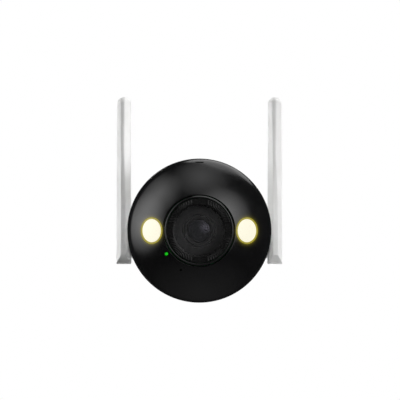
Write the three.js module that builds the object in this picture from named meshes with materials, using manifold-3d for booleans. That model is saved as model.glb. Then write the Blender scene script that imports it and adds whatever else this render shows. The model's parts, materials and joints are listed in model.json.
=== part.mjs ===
// A Wi-Fi bullet security camera on a three-axis wall bracket, as separate pieces in one scene graph.
// Millimetres, +Z up. The wall is the plane y = 0 and the camera looks along -Y, away from it.
// The origin is the centre of the wall base's back face, which lies on the camera's own axis.
// "out" is a distance from the wall, so a point at out has y = -out, and a piece runs from its rear to
// its front. A profile is a list of [radius, out] points turned about the camera's axis.
import * as THREE from "three";
import { mergeVertices } from "three/addons/utils/BufferGeometryUtils.js";
import Module from "manifold-3d";

const wasm = await Module();
wasm.setup();

// ---------------------------------------------------------------- driving dimensions
const GAP = 0.3; // clearance between neighbouring pieces
const WALL = 2.4; // thickness of the moulded shells
const PAST = 20; // how far a cutting tool runs past the surface it opens

// front cover
const FACE_RADIUS = 36.5; // widest radius of the front cover
const DOME_RADIUS = 50; // spherical part of the face
const DOME_EDGE = 34; // radius from the axis where the dome turns into its shoulder
const LENS_OPENING = 17.6; // hole in the middle of the face
const FACE_FRONT = 176; // out of the face at the edge of that hole
const NOSE_FRONT = 177.4; // front of the lens bezel
const COVER_REAR = 149.5; // back edge of the front cover
const SPIGOT = { outer: 30.9, inner: 29.4, reach: 4 }; // the rim that plugs into the housing
const NOTCH = { angle: 46.5, halfWidth: 2.2, halfDepth: 0.6, halfHeight: 0.7 }; // on the shoulder, at the top
const STATUS = { x: -16.3, z: -11.55, hole: 1.05, pipe: 0.75 };
const MIC = { x: -9.15, z: -19.5, hole: 0.5, boot: 2.6 };
const SPOT = { x: 23.7, halfWidth: 4.85, halfHeight: 5.95, thickness: 3 }; // the oval spotlights
const REFLECTOR = { rear: 156.7, front: 163.4, inner: [4.4, 5.5], outer: [5.4, 6.5] };
const FRONT_BOARD = { rear: 155, front: 156.4, inner: 10, outer: 31.5, emitter: 1.75, emitterFront: 157.3 };

// lens group
const BEZEL = { outer: 17.25, crest: 16.8, inner: 16.3, rear: 168.5 };
const BAFFLE = { outer: 16, crest: 13.4, throat: 12.5, seat: 13.5, rear: 169, valley: 175.8, front: 176.9 };
const BAFFLE_STEPS = 5;
const WINDOW = { radius: 13.2, rear: 172.8, front: 174.8 };
const GASKET = { inner: 7.95, rear: 171.1, front: 172.5 };
const BARREL = { bore: 4.2, thread: 6, head: 7.65, rear: 151.3, shoulder: 163.5, front: 172.2 };
const BARREL_MOUTH = { outer: 6.6, inner: 5.6, depth: 1.1, seat: 169 };
const ELEMENT = { radius: 5.3, rear: 169.3, bow: 9.1 };
const LOCK_RING = { outer: 8.6, inner: 6.3, rear: 157.3, front: 159.3 };
const HOLDER = { halfWidth: 13.5, halfHeight: 11, rear: 143.5, front: 151, collar: 157 };
const FILTER = { halfWidth: 8.5, halfHeight: 6.2, rear: 147.2, front: 149, travel: 7 }; // carries two panes
const COIL = { halfWidth: 5, rear: 144, front: 150.5, bottom: 11.3, top: 16, core: 2.5, coreTop: 17.5 };
const SENSOR = { halfWidth: 5, halfHeight: 4, rear: 143.5, front: 144.8 };
const SENSOR_BOARD = { half: 18, rear: 141.6, front: 143.2, holeCircle: 22.3, hole: 1.3 };

// casing
const HOUSING_REAR = 80.3;
const HOUSING_FRONT = COVER_REAR - GAP;
const HOUSING_REAR_RADIUS = 31.5;
const HOUSING_FRONT_RADIUS = 34.8;
const REAR_COVER_OUT = 65.5; // flat back of the camera
const REAR_FLAT_RADIUS = 13;
const INSIDE = { front: 31.9, rear: 29.3, rearOut: 86 }; // inner radii of the housing's tapering wall
const FRONT_SEAL = { outer: 33.8, inner: 32.4, thick: 1 };
const REAR_SEAL = { outer: 30.2, inner: 29.2, thick: 0.9 };
const REAR_SPIGOT = { outer: 27.3, inner: 25.6, front: 84 };
const REAR_SCREW = { circle: 21.5, seat: 71, sink: 2.8, hole: 1.5, pilot: 1.1, tube: 4.2 };
const SCREW_POST = { radius: 3.2, rear: 84.6, front: 94, web: 1.2 };
const GLAND = { z: -20.6, bore: 3.1, neck: 4.3, lip: 5.3, flange: 5.7, nose: 4.8, rear: 61.2 };
const GLAND_BOSS = { radius: 6.8, rear: 63.5, front: 72.8 };
const STUD_BORE = 5.3; // hole for the swivel stud, through the rear cover and into the knuckle

// service hatch, under the housing
const HATCH = { out: 115, halfWidth: 13, halfLength: 10, rim: 2.5, screwX: 8 };
const HATCH_SCREW = { hole: 1.3, head: 2.2, seat: -30.4 };
const HATCH_FLAT = -28.2; // flat inner face of the hatch cover
const HATCH_LEDGE = -26.6; // ledge that the hatch seal is pressed against
const POCKET_FLOOR = -24.5;
const BUTTON = { out: 110.5, hole: 2.5, stem: 2.15, flange: 3.2, bottom: -27.4, top: -20.2 };
const CARD = { rear: 118.6, front: 120.4, halfWidth: 6.2 }; // slot for a memory card
const SPEAKER = { out: 94, radius: 8.5, magnet: 6, bottom: -26.6, top: -21.4 };
const SOUND_SLOT = { pitch: 3, halfWidth: 0.7, halfLength: 5.5, shorter: 0.8 };

// inside the housing
const CHASSIS = { radius: 30.4, rear: 136, front: 138 };
const MAIN_BOARD = { halfWidth: 23, rear: 87, front: 134, bottom: -18.2, top: -16.6 };
const WIFI = { halfWidth: 9, rear: 93, front: 111, top: -13.8, socketX: 6, socketOut: 97, socket: 1 };
const CARD_SOCKET = { halfWidth: 7.6, bottom: -22.2, cardEnd: -19.5 };

// antennas
const ANTENNA_X = 41.4; // middle of an antenna's thickness
const ANTENNA_OUT = 105; // hinge axis of the antennas
const ANTENNA_Z = -7.6;
const ANTENNA_DROP = 10.6; // from the hinge axis down to the flat end
const ANTENNA_RISE = 80.9; // from the hinge axis up to the tip
const ANTENNA_HALF = 3.8; // half thickness, left to right
const BLADE_END_WIDTH = 8.8; // front to back, at the flat end that the foot slopes out from
const BLADE_FOOT = { rise: 5, halfWidth: 7.4, cutX: 2.5, cutY: 3 }; // rise is above the flat end
const BLADE_MIDDLE = { z: 30, halfWidth: 6.2, cutX: 2.4, cutY: 2.8 };
const BLADE_TIP = { halfWidth: 4.7, cutX: 2.1, cutY: 2.2 };
const BLADE_STRIP = { from: 5.5, to: 60, thick: 1, width: 3.8, clear: 2, clearSide: 0.9, clearWidth: 0.5 };
const BOSS = { radius: 7.5, root: 26.2, end: 37.2 }; // from the inner to the outer face
const HUB = { radius: 3.8, wire: 1.6, flange: 5.2, flangeThick: 1.2, bore: 4.15, socket: 4.1 };
const HINGE_SEAL = { outer: 6, inner: 4.5, thick: 1, seat: 6.3, seatDepth: 1.4 };

// bracket
const PIVOT_OUT = 46; // tilt axis
const BASE = { radius: 32, thick: 8, edge: 3, bevel: 2, recess: 12.9, recessFloor: 3 };
const BASE_HOLE = { circle: 25.5, radius: 2.2, head: 4.2, sink: 2.2 };
const COLLAR = { inner: 9.6, lip: 12.6, outer: 19, rear: 7.6, edge: 10.6, front: 12 };
const COLLAR_SCREW = { circle: 16, hole: 1.3, sink: 2.2, seat: 10.2 };
const ARM = { flange: 12.5, flangeRear: 3.3, flangeFront: 7.2, stem: 9, ear: 9, cheek: 4.5 };
const TILT_BOLT = { hole: 2.4, shank: 2, head: 3.7, key: 1.6, nut: 4, tip: -12.4, seat: 9.4, top: 12.2 };
const KNUCKLE = { radius: 8.4, half: 4.2, neckHalf: 6.4, headRear: 57.4, headRadius: 13, headBack: 11.4 };
const STUD = { head: 5, shank: 4, rear: 59.2, step: 68.2, front: 75, nut: 7.6, nutFront: 72.2 };
const PAN_LOCK = { out: 10.1, radius: 1.1, hole: 1.4, from: 9.4, length: 8.6 };
const ROLL_LOCK = { out: 61.9, radius: 1.6, hole: 1.9, from: 5.4, length: 7 };

// how round the turned pieces are, in sides
const ROUND = 40;
const MIDDLE = 24;
const BOLT = 20;
const SMALL = 16;
const TINY = 12;
const HEX = 6;

// ---------------------------------------------------------------- materials
const material = (color, roughness, metalness = 0, extra = {}) =>
  new THREE.MeshStandardMaterial({ color, roughness, metalness, ...extra });
const BLACK = material(0x121212, 0.28);
const BLACK_MATT = material(0x0c0c0c, 0.7);
const WHITE = material(0xe9e9e7, 0.35);
const RUBBER = material(0x1a1a1a, 0.85);
const STEEL = material(0xb4b4b0, 0.35, 0.9);
const BOARD = material(0x155c36, 0.5);
const CHIP = material(0x202224, 0.45);
const GLASS = material(0x1c2024, 0.05, 0, { transparent: true, opacity: 0.4 });
const DIFFUSER = material(0xfff6c8, 0.4, 0, { emissive: 0xfff2b0 });
const LIGHT_PIPE = material(0x20e020, 0.3, 0, { emissive: 0x10c010 });
const ALUMINIUM = material(0x9fa2a4, 0.4, 0.8);

// ---------------------------------------------------------------- solids
// A closed geometry as a manifold-3d solid, whichever way its faces pointed.
function solid(geometry) {
  const bare = geometry.index ? geometry.toNonIndexed() : geometry.clone();
  bare.deleteAttribute("normal");
  bare.deleteAttribute("uv");
  const merged = mergeVertices(bare, 1e-4);
  const index = merged.index.array;
  const triangles = [];
  for (let i = 0; i < index.length; i += 3) {
    const [a, b, c] = index.slice(i, i + 3);
    if (a !== b && b !== c && c !== a) triangles.push(a, b, c);
  }
  const vertProperties = new Float32Array(merged.attributes.position.array);
  const build = (corners) =>
    new wasm.Manifold(new wasm.Mesh({ numProp: 3, vertProperties, triVerts: new Uint32Array(corners) }));
  const made = build(triangles);
  return made.volume() < 0 ? build(triangles.reverse()) : made;
}

function geometryOf(made) {
  const mesh = made.getMesh();
  return new THREE.BufferGeometry()
    .setAttribute("position", new THREE.BufferAttribute(mesh.vertProperties.slice(), 3))
    .setIndex(new THREE.BufferAttribute(mesh.triVerts.slice(), 1));
}

const join = (...solids) => solids.reduce((a, b) => a.add(b));
const cut = (from, ...tools) => tools.reduce((a, b) => a.subtract(b), from);
const common = (a, b) => a.intersect(b);
const moved = (made, x, y, z) => made.translate([x, y, z]);

// A profile turned about the camera's axis. It closes on itself, or both its ends are on the axis.
function turned(profile, sides = ROUND) {
  const points = profile.map(([radius, out]) => new THREE.Vector2(radius, -out));
  const onAxis = points[0].x === 0 && points.at(-1).x === 0;
  if (!onAxis) points.push(points[0].clone());
  return solid(new THREE.LatheGeometry(points, sides));
}

const tube = (outer, inner, rear, front, sides = MIDDLE) =>
  turned([[inner, rear], [outer, rear], [outer, front], [inner, front]], sides);

// A cylinder along x, y or z, from one coordinate on that axis to another.
function rod(axis, radius, from, to, sides = SMALL) {
  const geometry = new THREE.CylinderGeometry(radius, radius, to - from, sides);
  geometry.translate(0, (from + to) / 2, 0);
  if (axis === "x") geometry.rotateZ(-Math.PI / 2);
  if (axis === "z") geometry.rotateX(Math.PI / 2);
  return solid(geometry);
}

// A cylinder along the camera's axis direction, from its rear to its front.
const post = (radius, rear, front, sides = SMALL) => rod("y", radius, -front, -rear, sides);

// A cylinder on one side of the camera: side is -1 for left and 1 for right.
function sideRod(side, radius, inner, outer, sides = MIDDLE) {
  const [from, to] = [side * inner, side * outer].sort((a, b) => a - b);
  return rod("x", radius, from, to, sides);
}

// A box from its ranges left to right, rear to front and bottom to top.
function slab([left, right], [rear, front], [bottom, top]) {
  const geometry = new THREE.BoxGeometry(right - left, front - rear, top - bottom);
  geometry.translate((left + right) / 2, -(rear + front) / 2, (bottom + top) / 2);
  return solid(geometry);
}

const both = (half, middle = 0) => [middle - half, middle + half];

// An upright oval prism from its rear to its front.
function oval(halfWidth, halfHeight, rear, front, sides = MIDDLE) {
  const geometry = new THREE.CylinderGeometry(1, 1, front - rear, sides);
  geometry.scale(halfWidth, 1, halfHeight);
  geometry.translate(0, -(rear + front) / 2, 0);
  return solid(geometry);
}

// Rings of points joined into one skin, with a flat cap on the first and the last ring.
function lofted(rings) {
  const sides = rings[0].length;
  const triangles = [];
  for (let level = 0; level < rings.length - 1; level++) {
    for (let i = 0; i < sides; i++) {
      const a = level * sides + i;
      const b = level * sides + ((i + 1) % sides);
      triangles.push(a, b, b + sides, a, b + sides, a + sides);
    }
  }
  const last = (rings.length - 1) * sides;
  for (let i = 1; i < sides - 1; i++) {
    triangles.push(0, i + 1, i, last, last + i, last + i + 1);
  }
  const geometry = new THREE.BufferGeometry();
  geometry.setAttribute("position", new THREE.Float32BufferAttribute(rings.flat(2), 3));
  geometry.setIndex(triangles);
  return solid(geometry);
}

// Profile points on an arc about [radius, out], between two angles from the axis in degrees.
function arc(centre, radius, from, to, steps) {
  return Array.from({ length: steps + 1 }, (_, i) => {
    const angle = THREE.MathUtils.degToRad(from + ((to - from) * i) / steps);
    return [centre[0] + radius * Math.sin(angle), centre[1] + radius * Math.cos(angle)];
  });
}

// Calls place with each of three x, z directions about the axis, the first at an angle in degrees.
const threeAround = (first, place) =>
  [0, 1, 2].map((i) => {
    const angle = THREE.MathUtils.degToRad(first + 120 * i);
    return place(Math.cos(angle), Math.sin(angle), i);
  });

// Three copies of a solid on a circle about the axis.
const onCircle = (made, circle, first = 90) =>
  threeAround(first, (c, s) => moved(made, circle * c, 0, circle * s));

// A pan-head screw along Y: its head rises from the origin, and its shank reaches the other way.
function screw(head, headHeight, shank, length) {
  const slot = head * 0.6;
  const wing = head * 0.16;
  const recessFloor = headHeight - 0.6;
  const body = join(rod("y", head, 0, headHeight), rod("y", shank, -length, headHeight / 2, TINY));
  const recess = (x, z) => slab(both(x), [-PAST, -recessFloor], both(z));
  return cut(body, recess(slot, wing), recess(wing, slot));
}

// A headless screw along +X from the origin, with a hexagonal socket in its far end.
const grubScrew = (radius, length) =>
  cut(rod("x", radius, 0, length, TINY), rod("x", radius / 2, length - 2, length + 1, HEX));

// ---------------------------------------------------------------- the face
const domeCentre = [0, FACE_FRONT - Math.sqrt(DOME_RADIUS ** 2 - LENS_OPENING ** 2)];
const edgeAngle = Math.asin(DOME_EDGE / DOME_RADIUS);
const shoulderRadius = (FACE_RADIUS - DOME_EDGE) / (1 - DOME_EDGE / DOME_RADIUS);
const shoulderCentre = [
  FACE_RADIUS - shoulderRadius,
  domeCentre[1] + (DOME_RADIUS - shoulderRadius) * Math.cos(edgeAngle),
];
const domeOut = (radius) => domeCentre[1] + Math.sqrt(DOME_RADIUS ** 2 - radius ** 2);

// The face's outline from a radius near the axis to its widest point, set in by an inset.
function faceOutline(fromRadius, inset) {
  const start = THREE.MathUtils.radToDeg(Math.asin(fromRadius / (DOME_RADIUS - inset)));
  const edge = THREE.MathUtils.radToDeg(edgeAngle);
  const dome = arc(domeCentre, DOME_RADIUS - inset, start, edge, 5);
  const shoulder = arc(shoulderCentre, shoulderRadius - inset, edge, 90, 3);
  return [...dome, ...shoulder.slice(1)];
}

// Everything under the face, set in by an inset.
const underFace = (inset) =>
  turned([
    [0, DOME_RADIUS - inset + domeCentre[1]],
    ...faceOutline(LENS_OPENING / 2, inset),
    [FACE_RADIUS - inset, COVER_REAR],
    [0, COVER_REAR],
  ]);

function faceNotch() {
  const angle = THREE.MathUtils.degToRad(NOTCH.angle);
  return slab(both(NOTCH.halfWidth), both(NOTCH.halfDepth), both(NOTCH.halfHeight))
    .rotate([-NOTCH.angle, 0, 0])
    .translate([
      0,
      -(shoulderCentre[1] + shoulderRadius * Math.cos(angle)),
      shoulderCentre[0] + shoulderRadius * Math.sin(angle),
    ]);
}

function frontCover() {
  const innerRadius = FACE_RADIUS - WALL - 0.2;
  const shell = turned([
    ...faceOutline(LENS_OPENING, 0),
    [FACE_RADIUS - 0.4, COVER_REAR],
    [SPIGOT.outer, COVER_REAR],
    [SPIGOT.outer, COVER_REAR - SPIGOT.reach],
    [SPIGOT.inner, COVER_REAR - SPIGOT.reach],
    [SPIGOT.inner, COVER_REAR + 2],
    [innerRadius, COVER_REAR + 2],
    ...faceOutline(LENS_OPENING, WALL).reverse(),
  ]);
  const spotHole = oval(SPOT.halfWidth + GAP, SPOT.halfHeight + GAP, COVER_REAR + 5, FACE_FRONT + PAST);
  const throughFace = (radius, sides) => post(radius, COVER_REAR + 5, FACE_FRONT + PAST, sides);
  return cut(
    shell,
    moved(spotHole, -SPOT.x, 0, 0),
    moved(spotHole, SPOT.x, 0, 0),
    moved(throughFace(STATUS.hole, SMALL), STATUS.x, 0, STATUS.z),
    moved(throughFace(MIC.hole, TINY), MIC.x, 0, MIC.z),
    faceNotch(),
  );
}

function spotlightWindow(side) {
  const plug = oval(SPOT.halfWidth, SPOT.halfHeight, COVER_REAR + 5, FACE_FRONT + PAST);
  return cut(common(moved(plug, side * SPOT.x, 0, 0), underFace(0)), underFace(SPOT.thickness));
}

const spotlightReflector = () =>
  cut(
    oval(...REFLECTOR.outer, REFLECTOR.rear, REFLECTOR.front),
    oval(...REFLECTOR.inner, REFLECTOR.rear - PAST, REFLECTOR.front + PAST),
  );

const statusLightPipe = () =>
  post(STATUS.pipe, REFLECTOR.rear, domeOut(Math.hypot(STATUS.x, STATUS.z)) - 0.2);

const microphoneBoot = () => tube(MIC.boot, MIC.hole, REFLECTOR.rear, BAFFLE.rear - 0.2, SMALL);

// The ring board behind the face, with an emitter for each spotlight.
function frontBoard() {
  const { rear, front, inner, outer, emitter, emitterFront } = FRONT_BOARD;
  const emitters = [-1, 1].map((side) =>
    slab(both(emitter, side * SPOT.x), [front - 0.4, emitterFront], both(emitter)));
  return join(tube(outer, inner, rear, front, ROUND), ...emitters);
}

// ---------------------------------------------------------------- lens group
const lensBezel = () =>
  turned([
    [BEZEL.outer, BEZEL.rear],
    [BEZEL.outer, NOSE_FRONT - 0.6],
    [BEZEL.crest, NOSE_FRONT],
    [BEZEL.inner, NOSE_FRONT],
    [BEZEL.inner, BEZEL.rear],
  ]);

// A collar round the window that falls away from it in concentric steps, so that it glares least.
function steppedBaffle() {
  const { outer, crest, throat, seat, rear, valley, front } = BAFFLE;
  const run = (outer - crest) / BAFFLE_STEPS;
  const rise = (front - valley) / BAFFLE_STEPS;
  const stairs = Array.from({ length: BAFFLE_STEPS }, (_, i) => [
    [outer - run * i, valley + rise * (i + 1)],
    [outer - run * (i + 1), valley + rise * (i + 1)],
  ]).flat();
  return turned([
    [outer, rear],
    ...stairs,
    [throat + 0.3, front],
    [throat, front - 0.6],
    [throat, WINDOW.front + GAP],
    [seat, WINDOW.front + GAP],
    [seat, rear],
  ]);
}

const lensWindow = () =>
  turned([[0, WINDOW.rear], [WINDOW.radius, WINDOW.rear], [WINDOW.radius, WINDOW.front], [0, WINDOW.front]]);

const windowGasket = () => tube(WINDOW.radius, GASKET.inner, GASKET.rear, GASKET.front, ROUND);

const lensBarrel = () =>
  turned([
    [BARREL.bore, BARREL.rear],
    [BARREL.thread, BARREL.rear],
    [BARREL.thread, BARREL.shoulder],
    [BARREL.head, BARREL.shoulder],
    [BARREL.head, BARREL.front],
    [BARREL_MOUTH.outer, BARREL.front],
    [BARREL_MOUTH.inner, BARREL.front - BARREL_MOUTH.depth],
    [BARREL_MOUTH.inner, BARREL_MOUTH.seat],
    [BARREL.bore, BARREL_MOUTH.seat],
  ], MIDDLE);

function lensFrontElement() {
  const edge = THREE.MathUtils.radToDeg(Math.asin(ELEMENT.radius / ELEMENT.bow));
  const crown = arc([0, BARREL.front - 0.1 - ELEMENT.bow], ELEMENT.bow, edge, 0, 4);
  return turned([[0, ELEMENT.rear], [ELEMENT.radius, ELEMENT.rear], ...crown], MIDDLE);
}

const lensLockRing = () => tube(LOCK_RING.outer, LOCK_RING.inner, LOCK_RING.rear, LOCK_RING.front);

function lensHolder() {
  const { halfWidth, halfHeight, rear, front, collar } = HOLDER;
  const lightWay = BARREL.bore + 0.2;
  const threadHole = BARREL.thread + GAP;
  const body = join(
    slab(both(halfWidth), [rear, front], both(halfHeight)),
    tube(LOCK_RING.outer, lightWay - 1, front - 0.5, collar),
  );
  return cut(
    body,
    post(lightWay, rear + 1.5, collar + PAST, MIDDLE),
    post(threadHole, front, collar + PAST, MIDDLE),
    slab(both(SENSOR.halfWidth + 1.5), [rear - 0.5, rear + 2.5], both(SENSOR.halfHeight + 2)),
    slab(both(halfWidth + 0.5), [FILTER.rear - 0.6, FILTER.front + 0.6], both(FILTER.halfHeight + 0.4)),
  );
}

// The carrier that puts either the infrared filter or clear glass over the sensor.
const irCutFilter = () =>
  slab(both(FILTER.halfWidth), [FILTER.rear, FILTER.front], both(FILTER.halfHeight));

function irCutCoil() {
  const { halfWidth, rear, front, bottom, top, core, coreTop } = COIL;
  return join(
    slab(both(halfWidth), [rear, front], [bottom, top]),
    slab(both(core), [rear + 1.5, front - 1.5], [top, coreTop]),
  );
}

const imageSensor = () => slab(both(SENSOR.halfWidth), [SENSOR.rear, SENSOR.front], both(SENSOR.halfHeight));

function sensorBoard() {
  const { half, rear, front, holeCircle, hole } = SENSOR_BOARD;
  const reach = holeCircle / Math.SQRT2;
  const holes = [-reach, reach].flatMap((x) =>
    [-reach, reach].map((z) => moved(post(hole, rear - 1, front + 1, TINY), x, 0, z)));
  return cut(slab(both(half), [rear, front], both(half)), ...holes);
}

// ---------------------------------------------------------------- casing
// The housing's outer form, solid.
const housingEnvelope = () =>
  turned([
    [0, HOUSING_REAR],
    [HOUSING_REAR_RADIUS, HOUSING_REAR],
    [HOUSING_FRONT_RADIUS, HOUSING_FRONT],
    [0, HOUSING_FRONT],
  ]);

// The housing's wall, with a seal groove in each end.
const housingShell = () =>
  turned([
    [HOUSING_REAR_RADIUS, HOUSING_REAR],
    [HOUSING_FRONT_RADIUS, HOUSING_FRONT],
    [FRONT_SEAL.outer + GAP, HOUSING_FRONT],
    [FRONT_SEAL.outer + GAP, HOUSING_FRONT - FRONT_SEAL.thick - GAP],
    [FRONT_SEAL.inner - GAP, HOUSING_FRONT - FRONT_SEAL.thick - GAP],
    [FRONT_SEAL.inner - GAP, HOUSING_FRONT],
    [SPIGOT.outer + GAP, HOUSING_FRONT],
    [SPIGOT.outer + GAP, CHASSIS.front + 3],
    [INSIDE.front, CHASSIS.front + 1],
    [INSIDE.rear, INSIDE.rearOut],
    [REAR_SPIGOT.outer + GAP, INSIDE.rearOut - 1.6],
    [REAR_SPIGOT.outer + GAP, HOUSING_REAR],
    [REAR_SEAL.inner - GAP, HOUSING_REAR],
    [REAR_SEAL.inner - GAP, HOUSING_REAR + REAR_SEAL.thick + GAP],
    [REAR_SEAL.outer + GAP, HOUSING_REAR + REAR_SEAL.thick + GAP],
    [REAR_SEAL.outer + GAP, HOUSING_REAR],
  ]);

// A flat rubber ring that lies in one of the housing's grooves.
const seal = ({ outer, inner, thick }, rear) => tube(outer, inner, rear, rear + thick, ROUND);

const atHinge = (made) => moved(made, 0, -ANTENNA_OUT, ANTENNA_Z);

const hingeBosses = () => [-1, 1].map((side) => atHinge(sideRod(side, BOSS.radius, BOSS.root, BOSS.end, 32)));

const hingeHoles = () =>
  [-1, 1].flatMap((side) => [
    atHinge(sideRod(side, HUB.bore, BOSS.root - 6, BOSS.end + PAST)),
    atHinge(sideRod(side, HINGE_SEAL.seat, BOSS.end - HINGE_SEAL.seatDepth, BOSS.end + PAST)),
  ]);

// Posts that the rear cover's screws bite into, each with a web to the wall.
const screwPosts = () =>
  threeAround(90, (c, s) => {
    const { radius, rear, front, web } = SCREW_POST;
    const toWall = slab([0.5, INSIDE.rear + 0.9 - REAR_SCREW.circle], [rear + 0.9, front], both(web))
      .rotate([0, THREE.MathUtils.radToDeg(-Math.atan2(s, c)), 0]);
    return moved(join(post(radius, rear, front), toWall), REAR_SCREW.circle * c, 0, REAR_SCREW.circle * s);
  });

const screwPostHoles = () =>
  onCircle(post(REAR_SCREW.pilot, SCREW_POST.rear - 0.6, SCREW_POST.front - 1, TINY), REAR_SCREW.circle);

const hatchRange = (inset) => [both(HATCH.halfWidth - inset), both(HATCH.halfLength - inset, HATCH.out)];

// The walled pocket that the hatch closes, with the card slot and the reset button's hole in its floor.
function hatchPocket() {
  return common(slab(...hatchRange(-2), [-FACE_RADIUS, POCKET_FLOOR + 2]), housingEnvelope());
}

const hatchPocketHollow = () => [
  slab(...hatchRange(0), [-FACE_RADIUS, HATCH_LEDGE]),
  slab(...hatchRange(HATCH.rim), [HATCH_LEDGE - 1, POCKET_FLOOR]),
];

const atHatchScrews = (made) => [-1, 1].map((side) => moved(made, side * HATCH.screwX, -HATCH.out, 0));

function soundSlots() {
  const { pitch, halfWidth, halfLength, shorter } = SOUND_SLOT;
  return [-2, -1, 0, 1, 2].map((i) => {
    const length = both(halfLength - Math.abs(i) * shorter);
    return slab(length, both(halfWidth, SPEAKER.out - i * pitch), [-FACE_RADIUS, SPEAKER.bottom + 1.6]);
  });
}

function mainHousing() {
  const walls = join(housingShell(), ...hingeBosses(), ...screwPosts(), hatchPocket());
  const hollowed = cut(walls, ...hatchPocketHollow());
  const hatchPosts = atHatchScrews(rod("z", HATCH_SCREW.head, HATCH_FLAT + GAP, POCKET_FLOOR + 1));
  return cut(
    join(hollowed, ...hatchPosts),
    ...atHatchScrews(rod("z", HATCH_SCREW.hole, HATCH_FLAT - 2, POCKET_FLOOR + 0.5, TINY)),
    slab(both(CARD.halfWidth), [CARD.rear, CARD.front], [HATCH_FLAT, POCKET_FLOOR + 4]),
    moved(rod("z", BUTTON.hole, HATCH_FLAT, POCKET_FLOOR + 4), 0, -BUTTON.out, 0),
    ...soundSlots(),
    ...hingeHoles(),
    ...screwPostHoles(),
  );
}

function hatchCover() {
  const plate = common(slab(...hatchRange(GAP), [-FACE_RADIUS - 4, HATCH_FLAT]), housingEnvelope());
  return cut(
    plate,
    ...atHatchScrews(rod("z", HATCH_SCREW.hole, HATCH_SCREW.seat - PAST, HATCH_FLAT + PAST, TINY)),
    ...atHatchScrews(rod("z", HATCH_SCREW.head, HATCH_SCREW.seat - PAST, HATCH_SCREW.seat)),
  );
}

const hatchSeal = () =>
  cut(
    slab(...hatchRange(GAP), [HATCH_FLAT + GAP, HATCH_LEDGE - GAP]),
    slab(...hatchRange(GAP + 2), [HATCH_FLAT - 2, HATCH_LEDGE + 2]),
  );

// The rear cover's rounded back, set in by an inset, from its flat to the housing.
const rearCurve = (inset) =>
  Array.from({ length: 6 }, (_, i) => {
    const angle = (Math.PI / 10) * i;
    const reach = HOUSING_REAR_RADIUS - REAR_FLAT_RADIUS - inset;
    const depth = HOUSING_REAR - GAP - REAR_COVER_OUT - inset;
    return [REAR_FLAT_RADIUS + reach * Math.sin(angle), HOUSING_REAR - GAP - depth * Math.cos(angle)];
  });

function rearCover() {
  const { outer, inner, front } = REAR_SPIGOT;
  const shell = turned([
    [0, REAR_COVER_OUT],
    ...rearCurve(0),
    [outer, HOUSING_REAR - GAP],
    [outer, front],
    [inner, front],
    [inner, HOUSING_REAR - 1],
    ...rearCurve(WALL).reverse().slice(1),
    [0, REAR_COVER_OUT + WALL],
  ]);
  const envelope = turned([[0, REAR_COVER_OUT], ...rearCurve(0), [0, HOUSING_REAR - GAP]]);
  const inside = join(envelope, post(inner + 0.1, HOUSING_REAR - 1.3, front + 0.2, 32));
  const atScrews = (made) => onCircle(made, REAR_SCREW.circle);
  const screwTube = post(REAR_SCREW.tube, REAR_COVER_OUT + 0.5, front + 0.2);
  const screwTubes = atScrews(screwTube).map((made) => common(made, inside));
  const glandBoss = moved(post(GLAND_BOSS.radius, GLAND_BOSS.rear, GLAND_BOSS.front, MIDDLE), 0, 0, GLAND.z);
  return cut(
    join(shell, ...screwTubes, glandBoss),
    ...atScrews(post(REAR_SCREW.hole, REAR_COVER_OUT - PAST, front + PAST, TINY)),
    ...atScrews(post(REAR_SCREW.sink, REAR_COVER_OUT - PAST, REAR_SCREW.seat)),
    moved(post(GLAND.neck + GAP, REAR_COVER_OUT - PAST, front + PAST, MIDDLE), 0, 0, GLAND.z),
    post(STUD_BORE, REAR_COVER_OUT - PAST, front + PAST, MIDDLE),
  );
}

// The rubber inlet for the supply lead: a flange outside, a neck through the wall and a lip inside.
const cableGland = () =>
  turned([
    [GLAND.bore, GLAND.rear],
    [GLAND.nose, GLAND.rear],
    [GLAND.flange, GLAND.rear + 0.8],
    [GLAND.flange, GLAND_BOSS.rear - GAP],
    [GLAND.neck, GLAND_BOSS.rear - GAP],
    [GLAND.neck, GLAND_BOSS.front + GAP],
    [GLAND.lip, GLAND_BOSS.front + GAP],
    [GLAND.lip, GLAND_BOSS.front + 1.5],
    [GLAND.bore, GLAND_BOSS.front + 1.5],
  ], MIDDLE);

// ---------------------------------------------------------------- inside the housing
function chassisPlate() {
  const { radius, rear, front } = CHASSIS;
  const cableNotch = slab(both(6), [rear - 6, front + 2], [20, radius + 10]);
  const boardNotch = slab(both(24), [rear - 6, front + 2], [-radius - 10, -24]);
  return cut(turned([[0, rear], [radius, rear], [radius, front], [0, front]]), cableNotch, boardNotch);
}

function mainBoard() {
  const { halfWidth, rear, front, bottom, top } = MAIN_BOARD;
  const plate = slab(both(halfWidth), [rear, front], [bottom, top]);
  const processor = slab(both(8), [HATCH.out, front - 3], [top - 0.2, top + 1.8]);
  const resetSwitch = slab(both(2.5), both(2.5, BUTTON.out), [bottom - 0.9, bottom + 0.2]);
  return join(plate, processor, resetSwitch);
}

function wifiModule() {
  const { halfWidth, rear, front, top, socketX, socketOut, socket } = WIFI;
  const shield = slab(both(halfWidth), [rear, front], [MAIN_BOARD.top + GAP, top]);
  const sockets = [-socketX, socketX].map((x) =>
    moved(rod("z", socket, top - 0.2, top + 1, TINY), x, -socketOut, 0));
  return join(shield, ...sockets);
}

const cardSocket = () =>
  cut(
    slab(
      both(CARD_SOCKET.halfWidth),
      [CARD.rear - 0.8, CARD.front + 0.8],
      [CARD_SOCKET.bottom, MAIN_BOARD.bottom - GAP],
    ),
    slab(
      both(CARD.halfWidth - 0.2),
      [CARD.rear + 0.4, CARD.front - 0.4],
      [CARD_SOCKET.bottom - 1, CARD_SOCKET.cardEnd],
    ),
  );

const resetButton = () =>
  join(rod("z", BUTTON.stem, BUTTON.bottom, BUTTON.top), rod("z", BUTTON.flange, -22.2, -21.4));

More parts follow.
